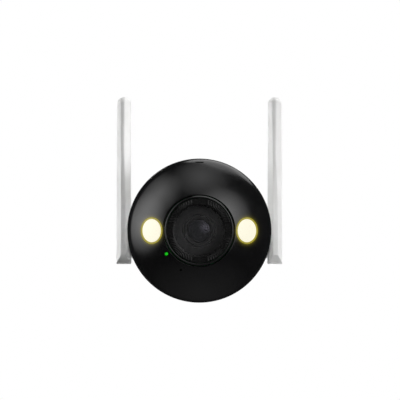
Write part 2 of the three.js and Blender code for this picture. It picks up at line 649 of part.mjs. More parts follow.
const speaker = () =>
  join(
    rod("z", SPEAKER.radius, SPEAKER.bottom, SPEAKER.bottom + 3, MIDDLE),
    rod("z", SPEAKER.magnet, SPEAKER.bottom + 2.8, SPEAKER.top, MIDDLE),
  );

// ---------------------------------------------------------------- antennas
// The blade's outline at a height above the hinge axis, with its four long corners cut. It can be shrunk.
function bladeRing(z, { halfWidth, cutX, cutY }, shrink = 1) {
  const corners = [
    [ANTENNA_HALF, halfWidth - cutY],
    [ANTENNA_HALF - cutX, halfWidth],
    [cutX - ANTENNA_HALF, halfWidth],
    [-ANTENNA_HALF, halfWidth - cutY],
  ];
  const opposite = corners.map(([x, y]) => [-x, -y]);
  return [...corners, ...opposite].map(([x, y]) => [x * shrink, y * shrink, z]);
}

// A paddle about the hinge axis: its foot is cut like a hip roof and it tapers to a round tip.
// The hub's socket opens on the -X side and leads to the channel of the radiating strip.
function antennaBlade() {
  const tip = ANTENNA_RISE - ANTENNA_HALF;
  const rounded = [30, 60, 84].map((degrees) => {
    const angle = THREE.MathUtils.degToRad(degrees);
    return bladeRing(tip + ANTENNA_HALF * Math.sin(angle), BLADE_TIP, Math.cos(angle));
  });
  const uncut = { halfWidth: BLADE_END_WIDTH / 2, cutX: 0.01, cutY: 0.01 };
  const body = lofted([
    bladeRing(-ANTENNA_DROP, uncut),
    bladeRing(BLADE_FOOT.rise - ANTENNA_DROP, BLADE_FOOT),
    bladeRing(BLADE_MIDDLE.z, BLADE_MIDDLE),
    bladeRing(tip, BLADE_TIP),
    ...rounded,
  ]);
  const socket = rod("x", HUB.socket, -5, -0.7, MIDDLE);
  const { to, thick, width, clear, clearSide, clearWidth } = BLADE_STRIP;
  const channel = slab(both(thick / 2 + clearSide), both(width / 2 + clearWidth), [-clear, to + clear]);
  return cut(body, socket, channel);
}

const antennaElement = () =>
  slab(both(BLADE_STRIP.thick / 2), both(BLADE_STRIP.width / 2), [BLADE_STRIP.from, BLADE_STRIP.to]);

// The hollow hinge shaft: its flange bears on the inside of the housing, its end is fixed in the blade.
function antennaHub() {
  const flangeEnd = BOSS.root - GAP - ANTENNA_X;
  const flange = rod("x", HUB.flange, flangeEnd - HUB.flangeThick, flangeEnd, MIDDLE);
  const shaft = rod("x", HUB.radius, flangeEnd - 0.7, -1, MIDDLE);
  return cut(join(shaft, flange), rod("x", HUB.wire, -PAST, 5, TINY));
}

function antennaSeal() {
  const outer = BOSS.end - 0.1 - ANTENNA_X;
  return cut(
    rod("x", HINGE_SEAL.outer, outer - HINGE_SEAL.thick, outer, MIDDLE),
    rod("x", HINGE_SEAL.inner, -PAST, 5, MIDDLE),
  );
}

// ---------------------------------------------------------------- bracket
function wallBase() {
  const { radius, thick, edge, bevel, recess, recessFloor } = BASE;
  const disc = turned([
    [0, 0],
    [radius, 0],
    [radius, thick - edge],
    [radius - bevel, thick],
    [recess, thick],
    [recess, recessFloor],
    [0, recessFloor],
  ]);
  const sinkFloor = thick - BASE_HOLE.sink;
  const countersink = turned([
    [0, sinkFloor],
    [BASE_HOLE.radius, sinkFloor],
    [BASE_HOLE.head, thick],
    [BASE_HOLE.head, PAST],
    [0, PAST],
  ], SMALL);
  const wallScrewHole = join(post(BASE_HOLE.radius, -5, PAST), countersink);
  return cut(
    disc,
    ...onCircle(wallScrewHole, BASE_HOLE.circle, 30),
    ...onCircle(post(COLLAR_SCREW.hole, recessFloor + 0.4, PAST, TINY), COLLAR_SCREW.circle),
  );
}

function retainingCollar() {
  const { inner, lip, outer, rear, edge, front } = COLLAR;
  const { circle, hole, sink, seat } = COLLAR_SCREW;
  const ring = turned([
    [inner, rear],
    [lip, rear],
    [lip, BASE.thick + GAP],
    [outer, BASE.thick + GAP],
    [outer, edge],
    [outer - 1, front],
    [inner, front],
  ]);
  const screwHole = join(post(hole, 0, PAST, TINY), post(sink, seat, PAST));
  return cut(
    ring,
    ...onCircle(screwHole, circle),
    moved(rod("z", PAN_LOCK.hole, -outer - 6, -5, TINY), 0, -PAN_LOCK.out, 0),
  );
}

function panArm() {
  const { flange, flangeRear, flangeFront, stem, ear, cheek } = ARM;
  const shaft = turned([
    [0, flangeRear],
    [flange, flangeRear],
    [flange, flangeFront],
    [stem, flangeFront],
    [stem, PIVOT_OUT - 12],
    [0, PIVOT_OUT - 12],
  ], MIDDLE);
  const fork = join(
    slab(both(ear), [PIVOT_OUT - 13, PIVOT_OUT], both(ear)),
    moved(rod("x", ear, -ear, ear, 32), 0, -PIVOT_OUT, 0),
  );
  const rounded = common(fork, post(10.6, 30, PIVOT_OUT + PAST, 32));
  return cut(
    join(shaft, rounded),
    slab(both(cheek), [PIVOT_OUT - 10.4, PIVOT_OUT + PAST], both(12)),
    moved(rod("x", TILT_BOLT.hole, -PAST, PAST, BOLT), 0, -PIVOT_OUT, 0),
  );
}

function tiltKnuckle() {
  const { radius, half, neckHalf, headRear, headRadius, headBack } = KNUCKLE;
  const headFront = REAR_COVER_OUT - GAP;
  const tongue = moved(rod("x", radius, -half, half, 32), 0, -PIVOT_OUT, 0);
  const neck = slab(both(half), [PIVOT_OUT, headRear + 1.1], both(neckHalf));
  const head = turned([
    [0, headRear],
    [headBack, headRear],
    [headRadius, headRear + 1.6],
    [headRadius, headFront],
    [0, headFront],
  ], MIDDLE);
  return cut(
    join(tongue, neck, head),
    moved(rod("x", TILT_BOLT.hole, -PAST, PAST, BOLT), 0, -PIVOT_OUT, 0),
    post(STUD_BORE, STUD.rear - GAP, REAR_COVER_OUT + PAST, MIDDLE),
    moved(rod("z", ROLL_LOCK.hole, -PAST, -3), 0, -ROLL_LOCK.out, 0),
  );
}

const tiltBolt = () =>
  cut(
    join(
      rod("x", TILT_BOLT.shank, TILT_BOLT.tip, TILT_BOLT.seat + 0.4, BOLT),
      rod("x", TILT_BOLT.head, TILT_BOLT.seat, TILT_BOLT.top, BOLT),
    ),
    rod("x", TILT_BOLT.key, TILT_BOLT.top - 1.6, PAST, HEX),
  );

const tiltNut = () =>
  cut(
    rod("x", TILT_BOLT.nut, TILT_BOLT.tip + 0.5, -ARM.ear - GAP, HEX),
    rod("x", TILT_BOLT.shank + GAP, -PAST, 0, BOLT),
  );

const swivelStud = () =>
  turned([
    [0, STUD.rear],
    [STUD.head - 0.6, STUD.rear],
    [STUD.head, STUD.rear + 0.7],
    [STUD.head, STUD.step],
    [STUD.shank, STUD.step],
    [STUD.shank, STUD.front],
    [0, STUD.front],
  ], MIDDLE);

const studNut = () =>
  cut(
    post(STUD.nut, STUD.step + 0.1, STUD.nutFront, HEX),
    post(STUD.shank + GAP, STUD.rear, STUD.nutFront + 2, MIDDLE),
  );

// ---------------------------------------------------------------- assembly
const camera = new THREE.Group();

function add(group, name, made, finish, { at = [0, 0, 0], turn = [0, 0, 0] } = {}) {
  const mesh = new THREE.Mesh(geometryOf(made), finish);
  mesh.name = name;
  mesh.position.set(...at);
  mesh.rotation.set(...turn);
  group.add(mesh);
}

function addBracket(group) {
  const pivot = { at: [0, -PIVOT_OUT, 0] };
  const awayFromWall = [0, 0, Math.PI];
  add(group, "wall_base", wallBase(), WHITE);
  add(group, "retaining_collar", retainingCollar(), WHITE);
  threeAround(90, (c, s, i) => {
    const at = [COLLAR_SCREW.circle * c, -COLLAR_SCREW.seat - 0.1, COLLAR_SCREW.circle * s];
    add(group, `collar_screw_${i + 1}`, screw(1.9, 1.5, 1, 6), STEEL, { at, turn: awayFromWall });
  });
  for (const [name, { out, radius, from, length }] of [["pan", PAN_LOCK], ["roll", ROLL_LOCK]]) {
    const place = { at: [0, -out, -from], turn: [0, Math.PI / 2, 0] };
    add(group, `${name}_lock_screw`, grubScrew(radius, length), STEEL, place);
  }
  add(group, "pan_arm", panArm(), WHITE);
  add(group, "tilt_bolt", tiltBolt(), STEEL, pivot);
  add(group, "tilt_nut", tiltNut(), STEEL, pivot);
  add(group, "tilt_knuckle", tiltKnuckle(), WHITE);
}

function addRear(group) {
  add(group, "rear_cover", rearCover(), WHITE);
  add(group, "rear_seal", seal(REAR_SEAL, HOUSING_REAR), RUBBER);
  threeAround(90, (c, s, i) => {
    const at = [REAR_SCREW.circle * c, 0.4 - REAR_SCREW.seat, REAR_SCREW.circle * s];
    add(group, `rear_screw_${i + 1}`, screw(2.4, 1.8, 1, 16), STEEL, { at });
  });
  add(group, "cable_gland", cableGland(), RUBBER, { at: [0, 0, GLAND.z] });
  add(group, "swivel_stud", swivelStud(), STEEL);
  add(group, "stud_nut", studNut(), STEEL);
}

function addHousing(group) {
  add(group, "main_housing", mainHousing(), WHITE);
  add(group, "front_seal", seal(FRONT_SEAL, HOUSING_FRONT - FRONT_SEAL.thick), RUBBER);
  add(group, "hatch_cover", hatchCover(), WHITE);
  add(group, "hatch_seal", hatchSeal(), RUBBER);
  [-1, 1].forEach((side, i) => {
    const at = [side * HATCH.screwX, -HATCH.out, HATCH_SCREW.seat - 0.1];
    add(group, `hatch_screw_${i + 1}`, screw(1.9, 1.3, 1, 4.6), STEEL, { at, turn: [-Math.PI / 2, 0, 0] });
  });
  add(group, "chassis_plate", chassisPlate(), ALUMINIUM);
  add(group, "main_board", mainBoard(), BOARD);
  add(group, "wifi_module", wifiModule(), ALUMINIUM);
  add(group, "card_socket", cardSocket(), ALUMINIUM);
  add(group, "reset_button", resetButton(), BLACK_MATT, { at: [0, -BUTTON.out, 0] });
  add(group, "speaker", speaker(), CHIP, { at: [0, -SPEAKER.out, 0] });
}

function addFace(group) {
  add(group, "front_cover", frontCover(), BLACK);
  add(group, "front_board", frontBoard(), BOARD);
  for (const [name, side] of [["left", -1], ["right", 1]]) {
    add(group, `spotlight_window_${name}`, spotlightWindow(side), DIFFUSER);
    add(group, `spotlight_reflector_${name}`, spotlightReflector(), ALUMINIUM, { at: [side * SPOT.x, 0, 0] });
  }
  add(group, "status_light_pipe", statusLightPipe(), LIGHT_PIPE, { at: [STATUS.x, 0, STATUS.z] });
  add(group, "microphone_boot", microphoneBoot(), RUBBER, { at: [MIC.x, 0, MIC.z] });
}

function addLens(group) {
  add(group, "lens_bezel", lensBezel(), BLACK);
  add(group, "stepped_baffle", steppedBaffle(), BLACK_MATT);
  add(group, "lens_window", lensWindow(), GLASS);
  add(group, "window_gasket", windowGasket(), RUBBER);
  add(group, "lens_barrel", lensBarrel(), BLACK_MATT);
  add(group, "lens_front_element", lensFrontElement(), GLASS);
  add(group, "lens_lock_ring", lensLockRing(), ALUMINIUM);
  add(group, "lens_holder", lensHolder(), BLACK_MATT);
  add(group, "ir_cut_filter", irCutFilter(), GLASS, { at: [-FILTER.travel / 2, 0, 0] });
  add(group, "ir_cut_coil", irCutCoil(), CHIP);
  add(group, "image_sensor", imageSensor(), CHIP);
  add(group, "sensor_board", sensorBoard(), BOARD);
}

// The left antenna is the right one turned half round, so its hub still points at the housing.
function addAntenna(group, name, side) {
  const antenna = new THREE.Group();
  antenna.position.set(side * ANTENNA_X, -ANTENNA_OUT, ANTENNA_Z);
  antenna.rotation.z = side > 0 ? 0 : Math.PI;
  add(antenna, `antenna_blade_${name}`, antennaBlade(), WHITE);
  add(antenna, `antenna_element_${name}`, antennaElement(), BOARD);
  add(antenna, `antenna_hub_${name}`, antennaHub(), WHITE);
  add(antenna, `antenna_seal_${name}`, antennaSeal(), RUBBER);
  group.add(antenna);
}

addBracket(camera);
addRear(camera);
addHousing(camera);
addFace(camera);
addLens(camera);
addAntenna(camera, "left", -1);
addAntenna(camera, "right", 1);

export default camera;
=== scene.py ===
import json
import math

import bmesh
import bpy
from mathutils import Matrix, Vector

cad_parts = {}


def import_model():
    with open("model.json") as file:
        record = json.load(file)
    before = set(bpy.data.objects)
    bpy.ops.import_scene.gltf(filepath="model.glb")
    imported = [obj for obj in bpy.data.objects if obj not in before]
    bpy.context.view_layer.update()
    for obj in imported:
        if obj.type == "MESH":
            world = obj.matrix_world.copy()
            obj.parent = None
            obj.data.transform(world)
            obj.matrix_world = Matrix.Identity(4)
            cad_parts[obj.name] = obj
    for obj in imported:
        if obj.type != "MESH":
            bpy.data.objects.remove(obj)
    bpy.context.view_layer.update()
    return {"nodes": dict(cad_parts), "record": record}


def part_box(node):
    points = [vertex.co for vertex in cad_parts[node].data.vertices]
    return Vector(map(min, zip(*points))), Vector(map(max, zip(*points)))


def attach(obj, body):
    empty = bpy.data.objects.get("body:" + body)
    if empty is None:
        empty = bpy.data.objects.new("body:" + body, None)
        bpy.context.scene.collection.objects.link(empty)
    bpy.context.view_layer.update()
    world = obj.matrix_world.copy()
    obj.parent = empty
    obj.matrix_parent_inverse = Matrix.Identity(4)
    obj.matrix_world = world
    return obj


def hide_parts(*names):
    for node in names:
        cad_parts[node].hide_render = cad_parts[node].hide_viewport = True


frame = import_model()

# Shapes are written in millimetres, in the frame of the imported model: the camera looks along -Y, and
# "out" is the distance from the wall, so a point at out has y = -out.
MM = 0.001
GAP = 0.3
WALL = 2.4
DOME_RADIUS = 50.0
DOME_EDGE = 34.0
ROUND_SIDES = 256
FINE_SIDES = 96
SMALL_SIDES = 40


# ---------------------------------------------------------------- reading the frame
def box(node):
    low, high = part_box(node)
    return Vector(low) / MM, Vector(high) / MM


def outs(node):
    """The node's rear and front, as distances from the wall."""
    low, high = box(node)
    return -high.y, -low.y


def radius(node):
    low, high = box(node)
    return (high.x - low.x) / 2


def centre(node):
    low, high = box(node)
    return (low + high) / 2


# ---------------------------------------------------------------- outlines
def fillet(points, size, closed=True, steps=4):
    """Rounds each corner of an outline with an arc that takes at most size of each edge."""
    points = [Vector(p) for p in points]
    count = len(points)
    rounded = []
    for i, corner in enumerate(points):
        if not closed and i in (0, count - 1):
            rounded.append(corner)
            continue
        before = points[i - 1] - corner
        after = points[(i + 1) % count] - corner
        if min(before.length, after.length) < 1e-6:
            rounded.append(corner)
            continue
        turn = before.angle(after)
        if turn > math.radians(172):
            rounded.append(corner)
            continue
        reach = min(size, before.length * 0.48, after.length * 0.48)
        start = corner + before.normalized() * reach
        end = corner + after.normalized() * reach
        for step in range(steps + 1):
            t = step / steps
            rounded.append(start.lerp(corner, t).lerp(corner.lerp(end, t), t))
    return rounded


def arc(mid, size, first, last, steps):
    """(radius, out) points round mid, between two angles from the axis in degrees."""
    points = []
    for step in range(steps + 1):
        angle = math.radians(first + (last - first) * step / steps)
        points.append((mid[0] + size * math.sin(angle), mid[1] + size * math.cos(angle)))
    return points


# ---------------------------------------------------------------- mesh making
def link(name, bm):
    bmesh.ops.remove_doubles(bm, verts=bm.verts, dist=1e-7)
    bmesh.ops.recalc_face_normals(bm, faces=bm.faces)
    mesh = bpy.data.meshes.new(name)
    bm.to_mesh(mesh)
    bm.free()
    piece = bpy.data.objects.new(name, mesh)
    bpy.context.scene.collection.objects.link(piece)
    return piece


def lofted(name, rings):
    """Joins rings of points, in millimetres, into a closed skin. A ring of one point is a pole."""
    bm = bmesh.new()
    made = [[bm.verts.new(Vector(p) * MM) for p in ring] for ring in rings]
    for low, high in zip(made, made[1:]):
        sides = max(len(low), len(high))
        for i in range(sides):
            j = (i + 1) % sides
            corners = [low[i % len(low)], low[j % len(low)], high[j % len(high)], high[i % len(high)]]
            bm.faces.new(list(dict.fromkeys(corners)))
    for end in (made[0], made[-1]):
        if len(end) > 1:
            bm.faces.new(end)
    return link(name, bm)


def turned(name, profile, sides=ROUND_SIDES, at=(0, 0)):
    """Turns (radius, out) points about the Y axis through at (x, z), into a closed skin."""
    bm = bmesh.new()
    rings = []
    for size, out in profile:
        if size < 1e-6:
            rings.append([bm.verts.new(Vector((at[0], -out, at[1])) * MM)])
            continue
        ring = []
        for i in range(sides):
            angle = math.tau * i / sides
            spot = Vector((at[0] + size * math.cos(angle), -out, at[1] + size * math.sin(angle)))
            ring.append(bm.verts.new(spot * MM))
        rings.append(ring)
    pairs = list(zip(rings, rings[1:]))
    if len(rings[0]) > 1 and len(rings[-1]) > 1:
        pairs.append((rings[-1], rings[0]))
    for low, high in pairs:
        if len(low) == 1 and len(high) == 1:
            continue
        for i in range(sides):
            j = (i + 1) % sides
            corners = [low[i % len(low)], low[j % len(low)], high[j % len(high)], high[i % len(high)]]
            bm.faces.new(list(dict.fromkeys(corners)))
    return link(name, bm)


def along(piece, axis, at=(0, 0, 0)):
    """Swings a piece turned about Y, with out running along +axis, and moves it to at in millimetres."""
    turn = Vector((0, -1, 0)).rotation_difference(Vector(axis)).to_matrix().to_4x4()
    piece.data.transform(Matrix.Translation(Vector(at) * MM) @ turn)
    return piece


def block(name, low, high, rounding=0.3):
    bm = bmesh.new()
    bmesh.ops.create_cube(bm, size=1)
    low, high = Vector(low), Vector(high)
    size, middle = (high - low) * MM, (high + low) * MM / 2
    for vert in bm.verts:
        vert.co = Vector(a * b for a, b in zip(vert.co, size)) + middle
    if rounding:
        bmesh.ops.bevel(bm, geom=bm.edges[:], offset=rounding * MM, segments=4, profile=0.5, affect="EDGES")
    return link(name, bm)


def oval(name, half_x, half_z, rear, front, at=(0, 0), sides=FINE_SIDES):
    piece = turned(name, [(0, rear), (1, rear), (1, front), (0, front)], sides)
    for vert in piece.data.vertices:
        vert.co.x = vert.co.x * half_x + at[0] * MM
        vert.co.z = vert.co.z * half_z + at[1] * MM
    return piece


def combine(piece, tools, how):
    for tool in tools:
        change = piece.modifiers.new("combine", "BOOLEAN")
        change.operation = how
        change.solver = "EXACT"
        change.object = tool
        shape = bpy.data.meshes.new_from_object(piece.evaluated_get(bpy.context.evaluated_depsgraph_get()))
        piece.modifiers.clear()
        piece.data = shape
        bpy.data.objects.remove(tool)
    return piece


def cut(piece, *tools):
    return combine(piece, tools, "DIFFERENCE")


def join(piece, *tools):
    return combine(piece, tools, "UNION")


def smooth(piece, degrees=32, rounding=0.0):
    """Smooth shading that keeps edges sharper than degrees, after an optional fine rounding in mm."""
    piece.data.polygons.foreach_set("use_smooth", [True] * len(piece.data.polygons))
    piece.data.set_sharp_from_angle(angle=math.radians(degrees))
    if rounding:
        bevel = piece.modifiers.new("rounding", "BEVEL")
        bevel.width = rounding * MM
        bevel.segments = 3
        bevel.limit_method = "ANGLE"
        bevel.angle_limit = math.radians(degrees)
        bevel.harden_normals = True
    return piece


def stands_for(piece, node, material, degrees=32, rounding=0.0):
    """Finishes a piece that takes the place of a CAD node, on that node's own body."""
    smooth(piece, degrees, rounding)
    piece.data.materials.clear()
    piece.data.materials.append(material)
    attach(piece, BODY_OF[node])
    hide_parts(node)
    return piece


def rides_with(piece, body, material, degrees=32):
    smooth(piece, degrees)
    piece.data.materials.clear()
    piece.data.materials.append(material)
    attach(piece, body)
    return piece


BODY_OF = {node: body for body, nodes in frame["record"]["behaviour"]["bodies"].items() for node in nodes}


# ---------------------------------------------------------------- materials
class Finish:
    """One procedural material, built up from a Principled shader in object space."""

    def __init__(self, name, colour, roughness, metallic=0.0):
        self.material = bpy.data.materials.new(name)
        self.material.use_nodes = True
        self.nodes = self.material.node_tree.nodes
        self.links = self.material.node_tree.links
        self.shader = self.nodes["Principled BSDF"]
        self.shader.inputs["Base Color"].default_value = (*colour, 1)
        self.shader.inputs["Roughness"].default_value = roughness
        self.shader.inputs["Metallic"].default_value = metallic
        self.place = self.nodes.new("ShaderNodeTexCoord").outputs["Object"]
        self.normal = None

    def noise(self, size, detail=3, stretch=None):
        """Noise whose features are about size millimetres across."""
        texture = self.nodes.new("ShaderNodeTexNoise")
        texture.inputs["Scale"].default_value = 1 / (size * MM)
        texture.inputs["Detail"].default_value = detail
        self.links.new(self.mapped(stretch), texture.inputs["Vector"])
        return texture.outputs["Fac"]

    def cells(self, size):
        texture = self.nodes.new("ShaderNodeTexVoronoi")
        texture.inputs["Scale"].default_value = 1 / (size * MM)
        self.links.new(self.place, texture.inputs["Vector"])
        return texture.outputs["Distance"]

    def mapped(self, stretch):
        if stretch is None:
            return self.place
        mapping = self.nodes.new("ShaderNodeMapping")
        mapping.inputs["Scale"].default_value = stretch
        self.links.new(self.place, mapping.inputs["Vector"])
        return mapping.outputs["Vector"]

    def ranged(self, value, low, high, start=0.35, end=0.65):
        ranger = self.nodes.new("ShaderNodeMapRange")
        ranger.inputs["From Min"].default_value = start
        ranger.inputs["From Max"].default_value = end
        ranger.inputs["To Min"].default_value = low
        ranger.inputs["To Max"].default_value = high
        self.links.new(value, ranger.inputs["Value"])
        return ranger.outputs["Result"]

    def vary_roughness(self, low, high, size):
        self.links.new(self.ranged(self.noise(size), low, high), self.shader.inputs["Roughness"])
        return self

    def vary_colour(self, first, second, size, start=0.35, end=0.65):
        ramp = self.nodes.new("ShaderNodeValToRGB")
        ramp.color_ramp.elements[0].position = start
        ramp.color_ramp.elements[0].color = (*first, 1)
        ramp.color_ramp.elements[1].position = end
        ramp.color_ramp.elements[1].color = (*second, 1)
        self.links.new(self.noise(size, 5), ramp.inputs["Fac"])
        self.links.new(ramp.outputs["Color"], self.shader.inputs["Base Color"])
        return self

    def bump(self, height, depth):
        """A bump depth millimetres deep."""
        bump = self.nodes.new("ShaderNodeBump")
        bump.inputs["Strength"].default_value = 1
        bump.inputs["Distance"].default_value = depth * MM
        self.links.new(height, bump.inputs["Height"])
        if self.normal:
            self.links.new(self.normal, bump.inputs["Normal"])
        self.normal = bump.outputs["Normal"]
        self.links.new(self.normal, self.shader.inputs["Normal"])
        return self

    def math(self, operation, *values):
        step = self.nodes.new("ShaderNodeMath")
        step.operation = operation
        for socket, value in zip(step.inputs, values):
            if isinstance(value, (int, float)):
                socket.default_value = value
            else:
                self.links.new(value, socket)
        return step.outputs["Value"]

    def glow_round(self, across, half_x, half_z, colour, brightness, halving):
        """Light that bleeds out of two ovals, across to the left and right, halving every so many mm."""
        split = self.nodes.new("ShaderNodeSeparateXYZ")
        self.links.new(self.place, split.inputs["Vector"])
        aside = self.math("SUBTRACT", self.math("ABSOLUTE", split.outputs["X"]), across * MM)
        x = self.math("POWER", self.math("ABSOLUTE", self.math("DIVIDE", aside, half_x * MM)), 2)
        z = self.math("POWER", self.math("ABSOLUTE", self.math("DIVIDE", split.outputs["Z"], half_z * MM)), 2)
        beyond = self.math("SUBTRACT", self.math("SQRT", self.math("ADD", x, z)), 1)
        steps = self.math("MULTIPLY", self.math("MAXIMUM", beyond, 0), (half_x + half_z) / 2 / halving)
        strength = self.math("MULTIPLY", self.math("POWER", 0.5, steps), brightness)
        self.links.new(strength, self.shader.inputs["Emission Strength"])
        return self.set(Emission_Color=(*colour, 1))

    def set(self, **values):
        for name, value in values.items():
            self.shader.inputs[name.replace("_", " ")].default_value = value
        return self


def gloss_black(name="gloss_black_plastic"):
    finish = Finish(name, (0.003, 0.003, 0.0033), 0.24)
    finish.vary_colour((0.0027, 0.0027, 0.003), (0.004, 0.004, 0.0043), 6)
    finish.vary_roughness(0.16, 0.21, 2.5)
    return finish.bump(finish.noise(0.35), 0.0006)


def lit_gloss_black():
    """The face's plastic, which carries a little of the spotlights' light round their windows."""
    across = centre("spotlight_window_right").x
    low, high = box("spotlight_window_right")
    half_x, half_z = (high.x - low.x) / 2, (high.z - low.z) / 2
    return gloss_black("lit_gloss_black_plastic").glow_round(across, half_x, half_z, (1, 0.85, 0.06), 0.36, 0.36)


def matt_black():
    finish = Finish("matt_black_plastic", (0.012, 0.012, 0.012), 0.55)
    finish.vary_colour((0.009, 0.009, 0.009), (0.016, 0.016, 0.016), 3)
    finish.vary_roughness(0.42, 0.6, 1.2)
    return finish.bump(finish.noise(0.12), 0.006).material


def collar_black():
    finish = Finish("baffle_black_plastic", (0.006, 0.006, 0.006), 0.34)
    finish.vary_colour((0.004, 0.004, 0.004), (0.006, 0.006, 0.006), 3)
    finish.vary_roughness(0.24, 0.3, 1.2)
    finish.set(Specular_IOR_Level=0.18)
    return finish.bump(finish.noise(0.12), 0.001).material


def white_plastic():
    finish = Finish("white_plastic", (0.82, 0.82, 0.81), 0.38)
    finish.vary_colour((0.79, 0.79, 0.78), (0.84, 0.84, 0.835), 14)
    finish.vary_roughness(0.32, 0.44, 5)
    finish.bump(finish.noise(0.18), 0.004)
    return finish.bump(finish.cells(0.45), 0.002).material


def white_paint():
    finish = Finish("white_painted_metal", (0.8, 0.8, 0.79), 0.42)
    finish.vary_colour((0.77, 0.77, 0.76), (0.82, 0.82, 0.81), 10)
    finish.vary_roughness(0.36, 0.5, 3)
    finish.bump(finish.noise(0.7, 2), 0.02)
    return finish.bump(finish.noise(0.15), 0.004).material


def black_rubber():
    finish = Finish("black_rubber", (0.02, 0.02, 0.02), 0.7)
    finish.vary_colour((0.016, 0.016, 0.016), (0.03, 0.03, 0.03), 2)
    finish.vary_roughness(0.6, 0.85, 1)
    return finish.bump(finish.noise(0.1), 0.01).material


def zinc_steel():
    finish = Finish("zinc_plated_steel", (0.56, 0.56, 0.54), 0.32, 1)
    finish.vary_colour((0.48, 0.48, 0.47), (0.62, 0.62, 0.6), 1.5)
    finish.vary_roughness(0.22, 0.42, 0.6)
    return finish.bump(finish.noise(0.15, 4, (1, 6, 1)), 0.004).material


def bare_aluminium():
    finish = Finish("bare_aluminium", (0.72, 0.73, 0.74), 0.35, 1)
    finish.vary_colour((0.66, 0.67, 0.68), (0.76, 0.77, 0.78), 4)
    finish.vary_roughness(0.28, 0.45, 1)
    return finish.bump(finish.noise(0.2, 4, (1, 8, 1)), 0.004).material


def circuit_board():
    finish = Finish("green_circuit_board", (0.01, 0.12, 0.05), 0.35)
    finish.vary_colour((0.008, 0.09, 0.04), (0.015, 0.17, 0.07), 1.2, 0.45, 0.52)
    finish.vary_roughness(0.28, 0.42, 0.8)
    return finish.bump(finish.noise(0.6), 0.02).material


def black_component():
    finish = Finish("black_component", (0.02, 0.021, 0.023), 0.5)
    finish.vary_colour((0.016, 0.017, 0.019), (0.03, 0.031, 0.033), 1)
    finish.vary_roughness(0.42, 0.6, 0.6)
    return finish.bump(finish.noise(0.1), 0.006).material


def window_glass():
    """Smoked cover glass: mostly see-through, with a clean reflection."""
    finish = Finish("clear_glass", (0.02, 0.021, 0.023), 0.06)
    finish.set(Alpha=0.25, IOR=1.5)
    finish.vary_colour((0.056, 0.056, 0.0575), (0.062, 0.062, 0.064), 3)
    finish.vary_roughness(0.04, 0.09, 4)
    return finish.bump(finish.noise(2), 0.0004).material


def coated_lens(name, alpha, tint):
    """Bluish-grey glass that takes on a tint where its coating catches the light."""
    finish = Finish(name, (0.03, 0.036, 0.046), 0.08)
    finish.vary_colour((0.045, 0.05, 0.058), (0.06, 0.066, 0.076), 2.5)
    finish.vary_roughness(0.05, 0.1, 3)
    finish.set(Alpha=alpha, Specular_Tint=(*tint, 1), IOR=1.75)
    return finish.bump(finish.noise(1.5), 0.0004).material


def lit(name, colour, strength, base):
    finish = Finish(name, base, 0.3)
    finish.vary_roughness(0.25, 0.38, 1)
    finish.set(Emission_Color=(*colour, 1), Emission_Strength=strength)
    finish.vary_colour(tuple(c * 0.96 for c in base), base, 1.5)
    return finish.bump(finish.noise(0.4), 0.004).material


GLOSS_BLACK = gloss_black().material
FACE_BLACK = lit_gloss_black().material
MATT_BLACK = matt_black()
COLLAR_BLACK = collar_black()
WHITE = white_plastic()
PAINT = white_paint()
RUBBER = black_rubber()
STEEL = zinc_steel()
ALUMINIUM = bare_aluminium()
BOARD = circuit_board()
COMPONENT = black_component()
WINDOW_GLASS = window_glass()
LENS_GLASS = coated_lens("coated_lens_glass", 0.6, (0.85, 0.8, 1.0))
INNER_GLASS = coated_lens("inner_lens_glass", 1, (0.8, 0.4, 1.0))
SPOT_LIT = lit("warm_diffuser", (1.0, 0.96, 0.77), 0.93, (0.04, 0.04, 0.03))
SPOT_RIM = lit("warm_diffuser_edge", (0.34, 0.29, 0.02), 0.9, (0.06, 0.05, 0.01))
STATUS_LIT = lit("green_light_pipe", (0.0, 0.5, 0.002), 1.0, (0.002, 0.06, 0.002))

SLOT_FINISH = {
    "white_painted_metal": PAINT,
    "white_plastic": WHITE,
    "gloss_black_plastic": GLOSS_BLACK,
    "matt_black_plastic": MATT_BLACK,
    "black_rubber": RUBBER,
    "zinc_plated_steel": STEEL,
    "green_circuit_board": BOARD,
    "black_component": COMPONENT,
    "bare_aluminium": ALUMINIUM,
    "clear_glass": WINDOW_GLASS,
    "warm_diffuser": SPOT_LIT,
    "green_light_pipe": STATUS_LIT,
}


def finish_cad_nodes():
    """Gives every carried-over CAD node its slot's material and finely rounded edges."""
    for entry in frame["record"]["subparts"]:
        node = frame["nodes"][entry["node"]]
        node.data.materials.clear()
        node.data.materials.append(SLOT_FINISH[entry["material_slot"]])
        rounding = node.modifiers.new("rounding", "BEVEL")
        rounding.width = 0.12 * MM
        rounding.segments = 2
        rounding.limit_method = "ANGLE"
        rounding.angle_limit = math.radians(50)


# ---------------------------------------------------------------- the face
FACE_RADIUS = radius("front_cover")
FACE_FRONT = outs("front_cover")[1]
LENS_OPENING = radius("lens_bezel") + 0.35
DOME_MIDDLE = FACE_FRONT - math.sqrt(DOME_RADIUS**2 - LENS_OPENING**2)
EDGE_ANGLE = math.degrees(math.asin(DOME_EDGE / DOME_RADIUS))
SHOULDER_RADIUS = (FACE_RADIUS - DOME_EDGE) / (1 - DOME_EDGE / DOME_RADIUS)
SHOULDER_MIDDLE = (
    FACE_RADIUS - SHOULDER_RADIUS,
    DOME_MIDDLE + (DOME_RADIUS - SHOULDER_RADIUS) * math.cos(math.radians(EDGE_ANGLE)),
)
WIDEST_OUT = SHOULDER_MIDDLE[1]
COVER_REAR = outs("main_housing")[1] + GAP


def dome_out(size, inset=0.0):
    return DOME_MIDDLE + math.sqrt((DOME_RADIUS - inset) ** 2 - size**2)


